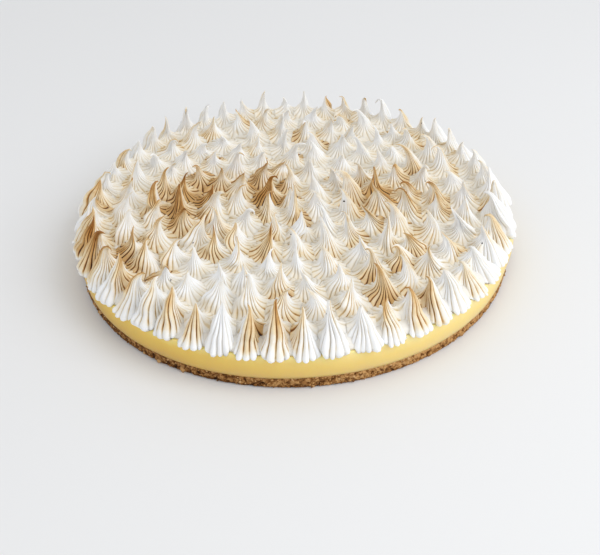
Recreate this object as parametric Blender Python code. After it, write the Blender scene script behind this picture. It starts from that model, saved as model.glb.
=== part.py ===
"""A 26 cm lemon meringue pie, baked in a ring and turned out: a pressed crumb crust, a set lemon
filling and a top of piped meringue peaks whose feet run into each other.

Metres, +Z up. The origin is the centre of the crust's flat underside.
"""

import math

import bmesh
import bpy
import numpy as np
from mathutils import Vector
from mathutils.geometry import delaunay_2d_cdt

CRUST_RADIUS = 0.130
CRUST_HEIGHT = 0.0065
LEMON_RADIUS = 0.1318  # out of its ring, the soft filling has settled a little past the crust
LEMON_HEIGHT = 0.0155
LAYER_GAP = 0.0003  # left between layers that touch

CRUST_SEGMENTS = 64
CRUST_SEED = 4
CRUST_EDGE_WANDER = 0.0010  # how far inside its full radius the pressed crumb edge strays
CRUST_ROW_HEIGHTS = (0.0017, 0.0047)  # extra rows of points up the crumb edge
LEMON_SEGMENTS = 64
LEMON_EDGE_BEVEL = 0.0006

MERINGUE_BOTTOM = CRUST_HEIGHT + LEMON_HEIGHT
FOOT_THICKNESS = 0.0050  # the rim's feet stand this high where they end
NOTCH_THICKNESS = 0.0040  # and this high in the notches between them
SADDLE_HEIGHT = 0.0100  # the valley between two neighbouring peaks, above the lemon
HOLLOW_HEIGHT = 0.0082  # the valley's low spot between three of them

PEAK_SEED = 26
RINGS = 8  # rings of peaks, the last of them a single peak in the middle
RIM_RING_RADIUS = 0.1197
RIM_PEAKS = 52
RIM_TURN = math.radians(-95.1)  # where the rim's first peak stands
RIM_REACH = 0.1335  # how far out the feet on the rim go, just past the lemon
RIM_NOTCH = 0.1305  # the notches between those feet
PEAK_PITCH = 0.0182  # from peak to peak along the inner rings
PEAK_HEIGHT = 0.0235
HEIGHT_SPREAD = (0.82, 1.14)  # the lowest and the highest peak, as shares of PEAK_HEIGHT
STRAY_AROUND = 0.09  # how far a rim peak strays along its ring, as a share of the way to the next
STRAY_OUTWARDS = 0.0012  # how far it strays in or out
INNER_STRAY = 2  # the inner rings' peaks stray this many times as far
LEAN_SPREAD = 0.7  # a peak leans towards the middle, give or take about this many radians
LEAN_REACH = (0.0020, 0.0080)  # how far a tip leans sideways, the least and the most
RIM_LEAN_SHARE = 0.4  # the rim's peaks lean this share as far as the others
SLUMP_SPOT = (0.1010, -0.0740)  # a few peaks on the rim have slumped round here
SLUMP_RADIUS = 0.0120
SLUMP_DEPTH = 0.42  # the share of its height that a peak at the spot has lost

PEAK_PROFILE = ((0.20, 0.54), (0.54, 0.21))  # share of the rise over the saddles, of the foot's reach
FOLD = (1.10, 0.82)  # a fold's crest and its groove, against the plain profile
LEAN_POWER = 1.5  # a peak leans more and more towards its tip
SAME_SPOT = 1e-7  # places nearer to each other than this count as one

FINISHES = {  # colour and roughness
    "crumb": ((0.32, 0.17, 0.07), 0.85),
    "lemon": ((0.93, 0.70, 0.26), 0.45),
    "meringue": ((0.93, 0.90, 0.84), 0.6),
}
SMOOTH_ANGLE = math.radians(40)


def start_clean():
    """Takes every object out of the scene."""
    for obj in list(bpy.data.objects):
        bpy.data.objects.remove(obj, do_unlink=True)


def collection(name):
    """A new collection in the scene."""
    made = bpy.data.collections.new(name)
    bpy.context.scene.collection.children.link(made)
    return made


def material(name):
    """A Principled BSDF with the colour and the roughness that FINISHES gives it."""
    colour, roughness = FINISHES[name]
    made = bpy.data.materials.new(name)
    made.use_nodes = True
    shader = made.node_tree.nodes["Principled BSDF"]
    shader.inputs["Base Color"].default_value = (*colour, 1.0)
    shader.inputs["Roughness"].default_value = roughness
    shader.inputs["Metallic"].default_value = 0.0
    return made


def object_from(bm, name, home, finish):
    """Turns a bmesh into an object with the named finish, shaded smooth up to SMOOTH_ANGLE."""
    mesh = bpy.data.meshes.new(name)
    bm.to_mesh(mesh)
    bm.free()
    mesh.materials.append(material(finish))
    mesh.shade_smooth()
    mesh.set_sharp_from_angle(angle=SMOOTH_ANGLE)
    obj = bpy.data.objects.new(name, mesh)
    home.objects.link(obj)
    return obj


def disc(radius, bottom, top, segments):
    """A closed upright cylinder between two heights, as a bmesh."""
    bm = bmesh.new()
    bmesh.ops.create_cone(
        bm,
        cap_ends=True,
        segments=segments,
        radius1=radius,
        radius2=radius,
        depth=top - bottom,
    )
    bmesh.ops.translate(bm, verts=bm.verts, vec=(0, 0, (top + bottom) / 2))
    return bm


def make_crust(home):
    """The crumb crust: a thin disc whose edge is as uneven as pressed crumbs are."""
    bm = disc(CRUST_RADIUS, 0.0, CRUST_HEIGHT - LAYER_GAP, CRUST_SEGMENTS)
    for height in CRUST_ROW_HEIGHTS:
        everything = bm.verts[:] + bm.edges[:] + bm.faces[:]
        bmesh.ops.bisect_plane(bm, geom=everything, plane_co=(0, 0, height), plane_no=(0, 0, 1))
    rng = np.random.default_rng(CRUST_SEED)
    for vert in bm.verts:
        stray = 1.0 - CRUST_EDGE_WANDER * rng.uniform() / CRUST_RADIUS
        vert.co.x *= stray
        vert.co.y *= stray
    return object_from(bm, "crumb_crust", home, "crumb")


def make_lemon(home):
    """The lemon filling: a smooth disc with a slightly softened edge."""
    top = MERINGUE_BOTTOM - LAYER_GAP
    bm = disc(LEMON_RADIUS, CRUST_HEIGHT, top, LEMON_SEGMENTS)
    rim = [edge for edge in bm.edges if all(vert.co.z > top - LAYER_GAP for vert in edge.verts)]
    bmesh.ops.bevel(bm, geom=rim, offset=LEMON_EDGE_BEVEL, segments=1, affect="EDGES")
    return object_from(bm, "lemon_filling", home, "lemon")


def lay_out_peaks():
    """Rings of peaks from the rim to the middle: each peak's place, height and lean.

    A ring holds as many peaks as fit at PEAK_PITCH; the rim ring holds RIM_PEAKS. Each peak strays
    a little from its even place, and leans towards the middle of the pie, give or take, though the
    rim's peaks hardly do. Heights dip near SLUMP_SPOT as a bell curve of the distance to it.
    """
    rng = np.random.default_rng(PEAK_SEED)
    places, heights, leans = [], [], []
    for ring, radius in enumerate(np.linspace(RIM_RING_RADIUS, 0.0, RINGS)):
        on_rim = ring == 0
        count = RIM_PEAKS if on_rim else max(1, round(2 * math.pi * radius / PEAK_PITCH))
        start = RIM_TURN if on_rim else rng.uniform(0, 2 * math.pi)
        around, outwards = rng.uniform(-1, 1, (2, count)) * (1 if on_rim else INNER_STRAY)
        angle = start + 2 * math.pi * (np.arange(count) + STRAY_AROUND * around) / count
        out = radius + STRAY_OUTWARDS * outwards
        places.append(np.stack([out * np.cos(angle), out * np.sin(angle)], axis=1))
        heights.append(PEAK_HEIGHT * rng.uniform(*HEIGHT_SPREAD, count))
        way = angle + math.pi + rng.normal(0, LEAN_SPREAD, count)
        lean = rng.uniform(*LEAN_REACH, count) * (RIM_LEAN_SHARE if on_rim else 1)
        leans.append(np.stack([lean * np.cos(way), lean * np.sin(way)], axis=1))
    places = np.concatenate(places)
    from_slump = np.linalg.norm(places - SLUMP_SPOT, axis=1) / SLUMP_RADIUS
    slumped = 1.0 - SLUMP_DEPTH * np.exp(-(from_slump**2))
    return places, np.concatenate(heights) * slumped, np.concatenate(leans)


def mirror_past_rim(places):
    """Stand-ins for the neighbours that the rim's peaks lack, as far past the rim as they are inside."""
    rim = places[:RIM_PEAKS]
    out = np.hypot(rim[:, 0], rim[:, 1])[:, None]
    return rim * (2 * RIM_REACH - out) / out


def valleys(places):
    """The network of valleys between the peaks, from the triangles that join neighbouring peaks.

    Returns the valley points, and for each peak the points round it in order. A point lies midway
    between two peaks, or in the middle of three.
    """
    everyone = np.concatenate([places, mirror_past_rim(places)])
    flat = [Vector(spot) for spot in everyone]
    _, _, triangles, sources, _, _ = delaunay_2d_cdt(flat, [], [], 0, SAME_SPOT)
    points, around = {}, [set() for _ in places]
    for corners in triangles:
        peaks = sorted(sources[corner][0] for corner in corners)
        sides = [(peaks[0], peaks[1]), (peaks[1], peaks[2]), (peaks[0], peaks[2])]
        for key in [tuple(peaks), *sides]:
            if key[0] >= len(places):
                continue
            spot = everyone[list(key)].mean(axis=0)
            height = SADDLE_HEIGHT if len(key) == 2 else HOLLOW_HEIGHT
            if key[-1] >= len(places):
                edge = RIM_REACH if len(key) == 2 else RIM_NOTCH
                spot = spot * edge / np.hypot(*spot)
                height = FOOT_THICKNESS if len(key) == 2 else NOTCH_THICKNESS
            points[key] = (*spot, MERINGUE_BOTTOM + height)
            for peak in key:
                if peak < len(places):
                    around[peak].add(key)
    loops = []
    for centre, keys in zip(places, around):
        angle = {key: math.atan2(points[key][1] - centre[1], points[key][0] - centre[0]) for key in keys}
        loops.append(sorted(keys, key=angle.get))
    return points, loops


def add_peak(bm, foot, centre, height, lean):
    """One peak: the loop of valley points round it, a folded shoulder, a slim neck and a leaning tip."""
    rings = []
    for (up, width), step in zip(PEAK_PROFILE, (1, 2)):
        shift = lean * up**LEAN_POWER
        level = MERINGUE_BOTTOM + SADDLE_HEIGHT + up * (height - SADDLE_HEIGHT)
        ring = []
        for k in range(0, len(foot), step):
            reach = Vector(foot[k].co.xy) - Vector(centre)
            out = reach * (width * FOLD[k % 2])
            spot = (centre[0] + shift[0] + out.x, centre[1] + shift[1] + out.y)
            ring.append(bm.verts.new((*spot, level)))
        rings.append(ring)
    shoulder, neck = rings
    tip = bm.verts.new((centre[0] + lean[0], centre[1] + lean[1], MERINGUE_BOTTOM + height))
    for k in range(len(foot)):
        after = (k + 1) % len(foot)
        bm.faces.new((foot[k], foot[after], shoulder[after]))
        bm.faces.new((foot[k], shoulder[after], shoulder[k]))
    for k in range(len(neck)):
        after = (k + 1) % len(neck)
        crest, groove, next_crest = shoulder[2 * k], shoulder[2 * k + 1], shoulder[2 * after]
        bm.faces.new((crest, groove, neck[k]))
        bm.faces.new((groove, next_crest, neck[after]))
        bm.faces.new((groove, neck[after], neck[k]))
        bm.faces.new((neck[k], neck[after], tip))


def make_meringue(home):
    """The meringue: one closed piece of peaks whose feet run into each other, flat underneath."""
    places, heights, leans = lay_out_peaks()
    points, loops = valleys(places)
    bm = bmesh.new()
    verts = {key: bm.verts.new(spot) for key, spot in points.items()}
    for loop, centre, height, lean in zip(loops, places, heights, leans):
        add_peak(bm, [verts[key] for key in loop], centre, height, lean)
    edge = [side for side in bm.edges if side.is_boundary]
    pulled = bmesh.ops.extrude_edge_only(bm, edges=edge)["geom"]
    for vert in pulled:
        if isinstance(vert, bmesh.types.BMVert):
            vert.co.z = MERINGUE_BOTTOM
    bmesh.ops.holes_fill(bm, edges=[side for side in bm.edges if side.is_boundary])
    bmesh.ops.recalc_face_normals(bm, faces=bm.faces)
    print(f"{len(places)} peaks, the highest {1000 * heights.max():.1f} mm above the lemon")
    return object_from(bm, "meringue_topping", home, "meringue")


def main():
    start_clean()
    pie = collection("lemon_meringue_pie")
    make_crust(pie)
    make_lemon(pie)
    make_meringue(pie)


main()
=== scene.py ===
# %% [markdown]
# # A torched lemon meringue pie
#
# The pie has three layers: a thin crust of pressed crumbs and chopped nuts, a smooth layer of set
# lemon cream, and meringue piped with a fine star nozzle into a field of peaks. A torch has then
# browned some of the peaks. The solids of the three layers are loaded first, as a fixed frame that
# says where everything goes. Each layer is then made again on top of it with the detail that a
# camera sees.

# %% Load the frame
import math

import bpy
import numpy as np
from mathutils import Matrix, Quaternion, Vector


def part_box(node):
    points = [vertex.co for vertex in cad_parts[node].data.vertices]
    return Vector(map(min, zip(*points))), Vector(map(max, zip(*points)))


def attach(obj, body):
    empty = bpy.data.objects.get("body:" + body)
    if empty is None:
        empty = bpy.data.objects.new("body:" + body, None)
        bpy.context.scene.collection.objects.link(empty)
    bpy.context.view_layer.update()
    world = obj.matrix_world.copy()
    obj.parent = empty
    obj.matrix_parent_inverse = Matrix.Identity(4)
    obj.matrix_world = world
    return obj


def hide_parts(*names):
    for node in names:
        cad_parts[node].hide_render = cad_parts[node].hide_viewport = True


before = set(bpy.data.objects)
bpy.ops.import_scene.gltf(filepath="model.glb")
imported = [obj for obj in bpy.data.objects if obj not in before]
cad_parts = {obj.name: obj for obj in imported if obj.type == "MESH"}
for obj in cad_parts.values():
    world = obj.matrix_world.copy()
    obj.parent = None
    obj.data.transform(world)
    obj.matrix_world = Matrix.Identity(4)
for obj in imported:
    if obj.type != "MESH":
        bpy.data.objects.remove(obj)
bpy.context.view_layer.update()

crust_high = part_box("crumb_crust")[1]
lemon_low, lemon_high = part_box("lemon_filling")
meringue_low, meringue_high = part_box("meringue_topping")
MM = 0.001
CRUST_RADIUS = crust_high.x
LEMON_RADIUS = lemon_high.x
LEMON_TOP = lemon_high.z
MERINGUE_BOTTOM = meringue_low.z
print(f"pie {2000 * meringue_high.x:.0f} mm across, meringue from {1000 * MERINGUE_BOTTOM:.1f} mm up")

# %% [markdown]
# ## Camera, floor and light
#
# A pie is looked at from above its edge, as by someone who stands at the table. The camera looks
# down at about 37 degrees with a slightly long lens, and is tipped a little, as a camera held by
# hand is. The floor is plain and pale. One broad soft lamp stands to the front right, as a window
# would, so that the peaks' left sides fall into shade, and the white sky fills that shade softly.

# %% Camera
CAMERA_DISTANCE = 0.6272
CAMERA_ELEVATION = math.radians(35.48)
CAMERA_AIM = Vector((0.0025, -0.0350, 0.0))
CAMERA_ROLL = math.radians(-1.91)
LENS = 59.6

lens = bpy.data.cameras.new("camera")
lens.lens = LENS
lens.sensor_width = 36.0
camera = bpy.data.objects.new("camera", lens)
camera.location = CAMERA_DISTANCE * Vector((0, -math.cos(CAMERA_ELEVATION), math.sin(CAMERA_ELEVATION)))
look = (CAMERA_AIM - camera.location).to_track_quat("-Z", "Y")
camera.rotation_euler = (look @ Quaternion((0, 0, 1), CAMERA_ROLL)).to_euler()
bpy.context.scene.collection.objects.link(camera)
bpy.context.scene.camera = camera
print(f"camera {1000 * camera.location.length:.0f} mm from the pie's foot")


# %% Light and sky
LAMP_PLACE = Vector((0.95, -0.55, 0.95))
LAMP_AIM = Vector((0, 0, 0.02))
LAMP_SIZE = 1.0
LAMP_WATTS = 9.8
LAMP_COLOUR = (0.97, 0.985, 1.0)
SKY_COLOUR = (0.975, 0.985, 1.0)
SKY_STRENGTH = 0.79

window = bpy.data.lights.new("window", "AREA")
window.shape = "SQUARE"
window.size = LAMP_SIZE
window.energy = LAMP_WATTS
window.color = LAMP_COLOUR
lamp = bpy.data.objects.new("window", window)
lamp.location = LAMP_PLACE
lamp.rotation_euler = (LAMP_AIM - LAMP_PLACE).to_track_quat("-Z", "Y").to_euler()
bpy.context.scene.collection.objects.link(lamp)

sky = bpy.data.worlds.new("sky")
sky.use_nodes = True
sky.node_tree.nodes["Background"].inputs["Color"].default_value = (*SKY_COLOUR, 1.0)
sky.node_tree.nodes["Background"].inputs["Strength"].default_value = SKY_STRENGTH
bpy.context.scene.world = sky
bpy.context.scene.view_settings.view_transform = "Standard"
print(f"lamp of {LAMP_WATTS} W, {LAMP_PLACE.length:.2f} m off")


# %% [markdown]
# ## Two small workshops: meshes and shader sums
#
# Every surface below is worked out with numpy as whole arrays of points and then handed to one
# mesh in a single call, which is much faster than adding vertices one at a time. Finishes are
# written as sums: a `Wire` stands for a socket, and adding or multiplying wires adds the Math
# nodes, so that a formula in the script looks like the formula it is.


# %% Mesh from arrays
def mesh_piece(name, points, quads, triangles, marks=None, lobe_map=None):
    """An object from an array of points and arrays of corners; marks are numbers on its points.

    lobe_map gives two numbers for every corner, quads first, as the piece's own UV map.
    """
    mesh = bpy.data.meshes.new(name)
    corners = np.concatenate([quads.ravel(), triangles.ravel()]).astype(np.int32)
    first_of_triangles = 4 * len(quads)
    starts = np.concatenate([4 * np.arange(len(quads)), first_of_triangles + 3 * np.arange(len(triangles))])
    mesh.vertices.add(len(points))
    mesh.vertices.foreach_set("co", np.asarray(points, np.float32).ravel())
    mesh.loops.add(len(corners))
    mesh.loops.foreach_set("vertex_index", corners)
    mesh.polygons.add(len(starts))
    mesh.polygons.foreach_set("loop_start", starts.astype(np.int32))
    mesh.update(calc_edges=True)
    mesh.shade_smooth()
    for mark, values in (marks or {}).items():
        layer = mesh.attributes.new(mark, "FLOAT", "POINT")
        layer.data.foreach_set("value", np.asarray(values, np.float32).ravel())
    if lobe_map is not None:
        layer = mesh.uv_layers.new(name="lobes")
        layer.uv.foreach_set("vector", np.asarray(lobe_map, np.float32).ravel())
    made = bpy.data.objects.new(name, mesh)
    bpy.context.scene.collection.objects.link(made)
    print(f"{name}: {2 * len(quads) + len(triangles)} triangles")
    return made


def smoothstep(low, high, x):
    """0 below low, 1 above high, and the curve 3t^2 - 2t^3 between them."""
    t = np.clip((x - low) / (high - low), 0.0, 1.0)
    return t * t * (3.0 - 2.0 * t)


def grid_quads(rows, columns):
    """The quads of a grid whose columns close into a ring, facing outwards if they run leftwards."""
    row, column = np.mgrid[0 : rows - 1, 0:columns]
    after = (column + 1) % columns
    low, high = row * columns, (row + 1) * columns
    return np.stack([low + column, low + after, high + after, high + column], axis=-1).reshape(-1, 4)


def pole_fans(rows, columns):
    """Triangles from the first row to a point below it and from the last row to a point above.

    The points of the grid come first, then the bottom pole, then the top pole.
    """
    column = np.arange(columns)
    after = (column + 1) % columns
    bottom, top = rows * columns, rows * columns + 1
    last = (rows - 1) * columns
    below = np.stack([np.full(columns, bottom), after, column], axis=1)
    above = np.stack([np.full(columns, top), last + column, last + after], axis=1)
    return np.concatenate([below, above])


def turned_piece(name, angle, radius, height, marks=None):
    """A closed piece that goes round: rows of radii and heights, with a pole at either end.

    Each point is (radius cos angle, radius sin angle, height), and the poles lie on the axis.
    """
    rows, columns = radius.shape
    points = np.stack([radius * np.cos(angle), radius * np.sin(angle), height], axis=-1).reshape(-1, 3)
    points = np.concatenate([points, [(0, 0, height[0].mean()), (0, 0, height[-1].mean())]])
    return mesh_piece(name, points, grid_quads(rows, columns), pole_fans(rows, columns), marks)


# %% Shader sums
class Wire:
    """A socket that can be added, multiplied and so on, each time through a Math node."""

    def __init__(self, finish, socket):
        self.finish = finish
        self.socket = socket

    def maths(self, operation, *others):
        inputs = {place: value for place, value in enumerate((self, *others))}
        return self.finish.node("ShaderNodeMath", {"operation": operation}, inputs)

    def __add__(self, other):
        return self.maths("ADD", other)

    def __mul__(self, other):
        return self.maths("MULTIPLY", other)

    def __sub__(self, other):
        return self.maths("SUBTRACT", other)

    def __rsub__(self, other):
        return self.finish.node("ShaderNodeMath", {"operation": "SUBTRACT"}, {0: other, 1: self})

    def __truediv__(self, other):
        return self.maths("DIVIDE", other)

    __radd__ = __add__
    __rmul__ = __mul__


class Finish:
    """A material. Its constants go straight onto the shader's sockets."""

    def __init__(self, name, constants):
        self.material = bpy.data.materials.new(name)
        self.material.use_nodes = True
        self.tree = self.material.node_tree
        self.shader = self.tree.nodes["Principled BSDF"]
        for socket, value in constants.items():
            self.shader.inputs[socket].default_value = value

    def node(self, kind, settings=None, inputs=None, output=0):
        """Adds a node: its settings first, then each input's value or link. Returns one output."""
        made = self.tree.nodes.new(kind)
        for name, value in (settings or {}).items():
            if name == "stops":
                self.fill_ramp(made.color_ramp, value)
            else:
                setattr(made, name, value)
        for place, value in (inputs or {}).items():
            if isinstance(value, Wire):
                self.tree.links.new(value.socket, made.inputs[place])
            else:
                made.inputs[place].default_value = value
        return Wire(self, made.outputs[output])

    def fill_ramp(self, ramp, stops):
        """Gives a colour ramp its (position, colour) stops."""
        while len(ramp.elements) < len(stops):
            ramp.elements.new(1.0)
        for element, (position, colour) in zip(ramp.elements, stops):
            element.position = position
            element.color = (*colour, 1.0)

    def mark(self, name):
        """A number that the mesh holds on its points."""
        return self.node("ShaderNodeAttribute", {"attribute_name": name}, output="Fac")

    def places(self):
        """Object coordinates, which are metres in the pie's own frame."""
        return self.node("ShaderNodeTexCoord", output="Object")

    def part(self, vector, axis):
        """One of a vector's three numbers, by its axis."""
        return self.node("ShaderNodeSeparateXYZ", None, {0: vector}, axis)

    def noise(self, places, grain, detail=2.0, roughness=0.5):
        """Soft noise from 0 to 1 whose blotches are about grain metres across."""
        inputs = {"Vector": places, "Scale": 1.0 / grain, "Detail": detail, "Roughness": roughness}
        return self.node("ShaderNodeTexNoise", None, inputs, "Fac")

    def between(self, value, low, high):
        """The value's way from low to high, from 0 to 1 with soft ends."""
        inputs = {"Value": value, "From Min": low, "From Max": high}
        return self.node("ShaderNodeMapRange", {"interpolation_type": "SMOOTHSTEP"}, inputs, "Result")

    def blend(self, share, first, second, way="MIX"):
        """Mixes two colours, each a wire or three numbers."""
        first, second = ((*c, 1.0) if isinstance(c, tuple) else c for c in (first, second))
        settings = {"data_type": "RGBA", "blend_type": way}
        return self.node("ShaderNodeMix", settings, {0: share, 6: first, 7: second}, 2)

    def ramp(self, value, stops):
        """A colour for each value, from (position, colour) stops."""
        return self.node("ShaderNodeValToRGB", {"stops": stops}, {0: value}, "Color")

    def drive(self, socket, wire):
        """Feeds one of the shader's sockets."""
        self.tree.links.new(wire.socket, self.shader.inputs[socket])

    def relief(self, height, depth):
        """Bumps the surface by a height from 0 to 1, at the given depth in metres."""
        inputs = {"Height": height, "Distance": depth, "Strength": 1.0}
        self.drive("Normal", self.node("ShaderNodeBump", None, inputs, "Normal"))


# %% Floor
FLOOR_SIZE = 6.0
floor_finish = Finish("pale_floor", {"Roughness": 0.6, "Specular IOR Level": 0.3})
floor_tone = floor_finish.noise(floor_finish.places(), 0.5)
floor_finish.drive("Base Color", floor_finish.blend(floor_tone, (0.80, 0.80, 0.80), (0.82, 0.82, 0.82)))
floor_points = FLOOR_SIZE * np.array([(-1, -1, 0), (1, -1, 0), (1, 1, 0), (-1, 1, 0)]) / 2
floor = mesh_piece("floor", floor_points, np.array([[0, 1, 2, 3]]), np.empty((0, 3), int))
floor.data.materials.append(floor_finish.material)


# %% [markdown]
# ## The crumb crust
#
# A press-in crust is crumbs and chopped nuts packed flat with the back of a spoon. At the side it
# shows as a rough band, where every crumb is a small bump and some have fallen away. One grid goes
# round the pie and up its side, and is pushed in and out by cell noise: each point looks for the
# nearest of many scattered crumb centres and stands proud near one. Loose bits of nut, which are
# larger and paler, are separate little stones set into the band.


# %% Cell noise for crumbs
def crumb_relief(along, up, size, rng, round_cells):
    """Bumps of about the given size on a band: 1 - (distance to the nearest crumb / size)^2.

    The crumbs are the points of a square grid, each strayed at random inside its cell, and the band
    is round_cells cells long and then meets itself.
    """
    rows_of_cells = int(up.max() / size) + 4
    stray = rng.uniform(0, 1, (2, round_cells, rows_of_cells))
    x, y = along / size, up / size + 1.0
    nearest = np.full(x.shape, 9.0)
    for step_x in (-1, 0, 1):
        for step_y in (-1, 0, 1):
            cell_x = np.floor(x).astype(int) + step_x
            cell_y = np.floor(y).astype(int) + step_y
            inside = (cell_x % round_cells, np.clip(cell_y, 0, rows_of_cells - 1))
            off_x = cell_x + stray[0][inside] - x
            off_y = cell_y + stray[1][inside] - y
            nearest = np.minimum(nearest, off_x**2 + off_y**2)
    return 1.0 - np.minimum(nearest, 1.0)


# %% Crust mesh
FLAT_SHARE = 0.9  # a layer's flat top and bottom close from this share of its radius
CRUST_COLUMNS = 1800
CRUST_SIDE_ROWS = 18
CRUMB_SIZES = ((3.0 * MM, 0.8 * MM), (1.5 * MM, 0.6 * MM), (0.7 * MM, 0.3 * MM))  # across, and how proud
CRUMB_DEPTH = sum(depth for _, depth in CRUMB_SIZES)
CRUST_PROUD = 1.5 * MM  # how far out the most proud crumbs stand
CRUST_TOP_WANDER = 1.1 * MM
CRUST_UNDERCUT = 0.9 * MM  # how far in the lowest crumbs are
CRUST_RISE = 1.0 * MM  # how much higher the crumbs were pressed at one place
CRUST_RISE_AT = math.radians(-85)
CRUST_RISE_SPREAD = math.radians(24)
crust_rng = np.random.default_rng(11)


def bell(angle, middle, spread):
    """1 at the middle angle, and less to either side of it as a bell curve: e^-(off / spread)^2."""
    off = np.angle(np.exp(1j * (angle - middle))) / spread
    return np.exp(-(off**2))


def crust_rise(angle):
    """How far the crust's top edge, and the lemon on it, stand above the flat at an angle."""
    return CRUST_RISE * bell(angle, CRUST_RISE_AT, CRUST_RISE_SPREAD)


def make_crust():
    """A disc whose side is a grid of (angle, height) pushed out by crumb relief.

    The radius is the crust's, plus how far it stands proud, less an undercut at its foot and a
    little at its top edge. The top edge is ragged where crumbs stand up, and follows the rise.
    """
    angle = 2 * math.pi * np.arange(CRUST_COLUMNS) / CRUST_COLUMNS
    up = np.linspace(0, 1, CRUST_SIDE_ROWS)[:, None] * np.ones_like(angle)
    along = angle * CRUST_RADIUS * np.ones_like(up)
    relief = []
    for size, depth in CRUMB_SIZES:
        round_cells = round(2 * math.pi * CRUST_RADIUS / size)
        fitted = along * round_cells * size / (2 * math.pi * CRUST_RADIUS)
        relief.append(crumb_relief(fitted, up * crust_high.z, size, crust_rng, round_cells))
    proud = sum(depth * (bumps - 1.0) for (_, depth), bumps in zip(CRUMB_SIZES, relief))
    ragged = 0.6 * relief[0][-1] + 0.4 * relief[1][-1] - 0.25
    side_radius = CRUST_RADIUS + CRUST_PROUD + proud
    side_height = up * (crust_high.z + crust_rise(angle) + CRUST_TOP_WANDER * ragged)
    side_radius -= CRUST_UNDERCUT * (1 - smoothstep(0.0, 0.14, up)) + 0.3 * MM * smoothstep(0.9, 1.0, up)
    ones = np.ones((1, CRUST_COLUMNS))
    inner = FLAT_SHARE * CRUST_RADIUS * ones
    radius = np.concatenate([inner, side_radius, inner])
    height = np.concatenate([0 * ones, side_height, crust_high.z * ones])
    # The crumb mark is how proud a point stands: the finish paints shade into the low gaps with it.
    depth = np.concatenate([ones, 1 + proud / CRUMB_DEPTH, ones])
    marks = {"crumb": np.concatenate([depth.ravel(), [1, 1]])}
    return turned_piece("pressed_crust", angle, radius, height, marks)


crust = make_crust()

# %% [markdown]
# Chopped nuts are angular, so each bit is the simplest round solid, an icosahedron, with its
# corners pulled about at random. All of them are worked out in one array of bits by corners.

# %% Small stones
GOLDEN = (1 + math.sqrt(5)) / 2
STONE_JITTER = 0.35  # corners are pulled in or out by up to this share
STONE_STRETCH = (0.45, 1.4)


def icosahedron():
    """The twelve corners, at distance one, and the twenty faces of an icosahedron."""
    corners = [(s, t * GOLDEN, 0) for s in (-1, 1) for t in (-1, 1)]
    corners = np.array([(c[k % 3], c[(k + 1) % 3], c[(k + 2) % 3]) for k in range(3) for c in corners])
    joined = np.isclose(np.linalg.norm(corners[:, None] - corners[None], axis=-1), 2.0)
    threes = [(a, b, c) for a in range(12) for b in range(a) for c in range(b)]
    faces = np.array([(a, b, c) for a, b, c in threes if joined[a, b] and joined[b, c] and joined[a, c]])
    turned = np.linalg.det(corners[faces]) < 0
    faces[turned] = faces[turned][:, ::-1]
    return corners / np.linalg.norm(corners[0]), faces


def stones(name, places, sizes, rng, marks=None):
    """One mesh of small angular bits: each a jittered icosahedron, stretched and turned at random."""
    corners, faces = icosahedron()
    count = len(places)
    shapes = corners * (1 + STONE_JITTER * rng.uniform(-1, 1, (count, 12, 1)))
    shapes = shapes * rng.uniform(*STONE_STRETCH, (count, 1, 3)) * np.asarray(sizes)[:, None, None] / 2
    turns, _ = np.linalg.qr(rng.normal(size=(count, 3, 3)))
    turns = turns * np.sign(np.linalg.det(turns))[:, None, None]
    points = np.einsum("nij,nkj->nki", turns, shapes) + np.asarray(places)[:, None]
    points[..., 2] = np.maximum(points[..., 2], 0.0)  # none may reach below the pie's underside
    all_faces = faces[None] + 12 * np.arange(count)[:, None, None]
    spread = {mark: np.repeat(values, 12) for mark, values in (marks or {}).items()}
    return mesh_piece(name, points.reshape(-1, 3), np.empty((0, 4), int), all_faces.reshape(-1, 3), spread)


# %% Nut bits in the crust
NUT_BITS = 1700
nut_rng = np.random.default_rng(12)
nut_angle = nut_rng.uniform(0, 2 * math.pi, NUT_BITS)
nut_size = (0.9 + 2.3 * nut_rng.uniform(0, 1, NUT_BITS) ** 2) * MM
nut_top = crust_high.z + crust_rise(nut_angle) + 0.7 * MM - nut_size
nut_up = 0.5 * nut_size + nut_top * nut_rng.uniform(0, 1, NUT_BITS)
nut_out = CRUST_RADIUS + CRUST_PROUD - 0.5 * MM - 0.25 * nut_size
nut_places = np.stack([nut_out * np.cos(nut_angle), nut_out * np.sin(nut_angle), nut_up], axis=1)
nuts = stones("crust_nut_bits", nut_places, nut_size, nut_rng, {"tone": nut_rng.uniform(0, 1, NUT_BITS)})
print(f"{NUT_BITS} nut bits of {1000 * nut_size.min():.1f} to {1000 * nut_size.max():.1f} mm")

# %% [markdown]
# The baked crumbs are dark brown in their gaps and lighter on their crowns; the dark gaps are painted
# shade. Painted shade also darkens the crust's foot, and painted light makes its side towards the lamp
# at +X paler. The nuts run from cream to roast brown, one tone to a bit.


# %% Crust finishes
def crumb_finish():
    """Brown by how proud a crumb stands, with two sizes of noise; painted shade in the gaps and at the foot,
    painted light towards +X.
    """
    finish = Finish("baked_crumb", {"Specular IOR Level": 0.1})
    places = finish.places()
    fine = finish.noise(places, 0.9 * MM, 3.0, 0.6)
    broad = finish.noise(places, 9 * MM)
    # Painted light: the side towards +X, where the lamp is, is paler; painted shade: the lowest 4 mm at the foot
    # is darker.
    painted_light = finish.between(finish.part(places, "X"), -0.12, 0.10) * 0.33
    painted_light = painted_light + finish.between(finish.part(places, "Z"), 0.0, 4 * MM) * 0.22
    # The crumb mark darkens the gaps between crumbs as painted shade.
    tone = finish.mark("crumb") * 1.6 + fine * 1.3 + broad * 0.4 + painted_light - 1.81
    stops = [
        (0.0, (0.020, 0.007, 0.002)),
        (0.35, (0.092, 0.032, 0.007)),
        (0.62, (0.230, 0.096, 0.024)),
        (1.0, (0.58, 0.325, 0.125)),
    ]
    finish.drive("Base Color", finish.ramp(tone, stops))
    finish.drive("Roughness", 0.95 - fine * 0.3)
    finish.relief(fine, 0.25 * MM)
    return finish.material


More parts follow.
